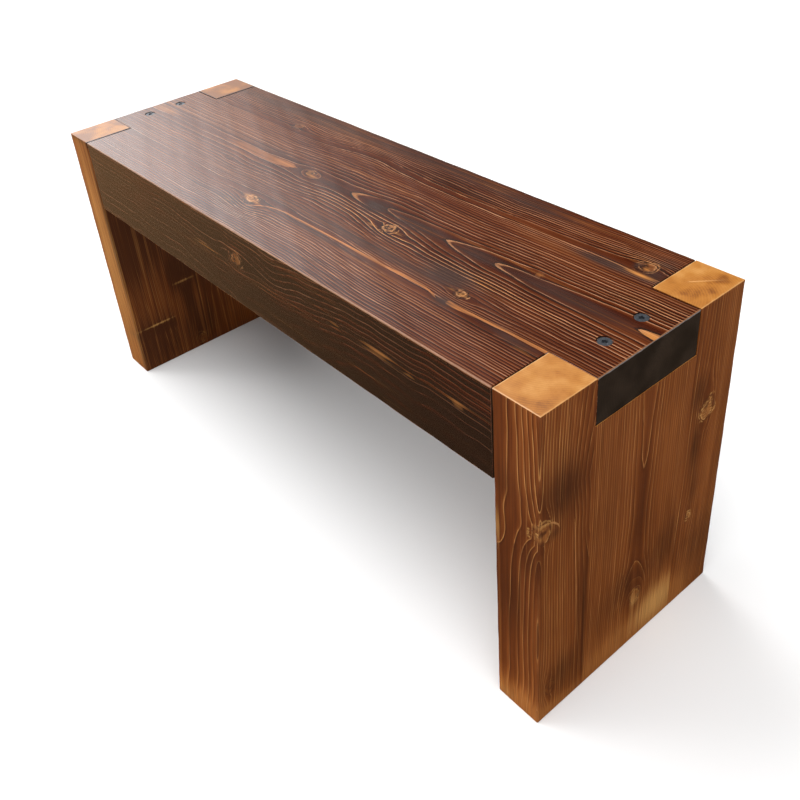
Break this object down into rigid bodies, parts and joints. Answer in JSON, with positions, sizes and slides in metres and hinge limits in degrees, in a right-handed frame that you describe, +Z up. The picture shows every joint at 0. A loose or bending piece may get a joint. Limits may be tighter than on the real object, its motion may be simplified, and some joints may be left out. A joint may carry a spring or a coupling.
{
  "type": "bench",
  "caption": "Solid timber bench: one thick dark seat beam, notched between the posts of two wide board-built end legs and screwed down through its tongues.",
  "frame": {"origin": "on the floor, under the middle of the bench", "axes": "+X along the seat to the right end, +Y from the front to the back, +Z up to the seat"},
  "size_m": [1, 0.314, 0.445],
  "materials": {
    "dark_stained_pine": "dark walnut stain with bright latewood lines, satin wax",
    "honey_stained_pine": "honey brown stain, satin wax",
    "black_steel": "black coated steel, satin",
    "beech_dowel": "bare beech"
  },
  "bodies": {
    "root": {"seat_beam": "dark_stained_pine", "left_leg_middle_board": "honey_stained_pine", "left_leg_front_post": "honey_stained_pine", "left_leg_back_post": "honey_stained_pine", "right_leg_middle_board": "honey_stained_pine", "right_leg_front_post": "honey_stained_pine", "right_leg_back_post": "honey_stained_pine", "left_front_tongue_screw": "black_steel", "left_back_tongue_screw": "black_steel", "right_front_tongue_screw": "black_steel", "right_back_tongue_screw": "black_steel", "left_leg_front_seam_dowel_1": "beech_dowel", "left_leg_front_seam_dowel_2": "beech_dowel", "left_leg_front_seam_dowel_3": "beech_dowel", "left_front_lower_shoulder_dowel": "beech_dowel", "left_front_upper_shoulder_dowel": "beech_dowel", "left_leg_back_seam_dowel_1": "beech_dowel", "left_leg_back_seam_dowel_2": "beech_dowel", "left_leg_back_seam_dowel_3": "beech_dowel", "left_back_lower_shoulder_dowel": "beech_dowel", "left_back_upper_shoulder_dowel": "beech_dowel", "right_leg_front_seam_dowel_1": "beech_dowel", "right_leg_front_seam_dowel_2": "beech_dowel", "right_leg_front_seam_dowel_3": "beech_dowel", "right_front_lower_shoulder_dowel": "beech_dowel", "right_front_upper_shoulder_dowel": "beech_dowel", "right_leg_back_seam_dowel_1": "beech_dowel", "right_leg_back_seam_dowel_2": "beech_dowel", "right_leg_back_seam_dowel_3": "beech_dowel", "right_back_lower_shoulder_dowel": "beech_dowel", "right_back_upper_shoulder_dowel": "beech_dowel"}
  },
  "joints": []
}
